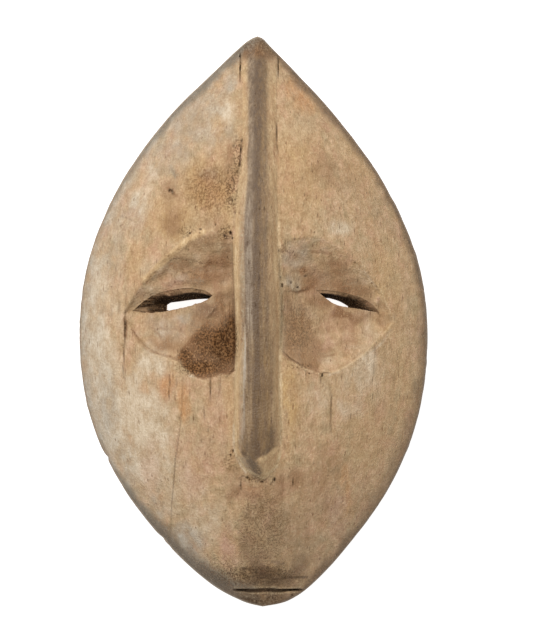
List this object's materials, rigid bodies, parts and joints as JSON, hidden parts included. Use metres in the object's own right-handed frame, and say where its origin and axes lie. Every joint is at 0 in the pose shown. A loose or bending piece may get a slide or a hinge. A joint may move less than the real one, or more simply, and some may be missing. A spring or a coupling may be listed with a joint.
{
  "type": "miniature mask",
  "caption": "Small almond-shaped wooden mask with a long ridge nose, sunken slit eyes and a hollowed back, lying on its rim.",
  "frame": {"origin": "middle of the footprint, on the plane of the flat back rim", "axes": "+Z out of the face, +Y from the chin to the pointed top, +X to the viewer's right"},
  "size_m": [0.1042, 0.1704, 0.0328],
  "materials": {
    "wood": "bare, worn hardwood with a dull surface and darker patina on the nose"
  },
  "bodies": {
    "root": {"mask": "wood"}
  },
  "joints": []
}
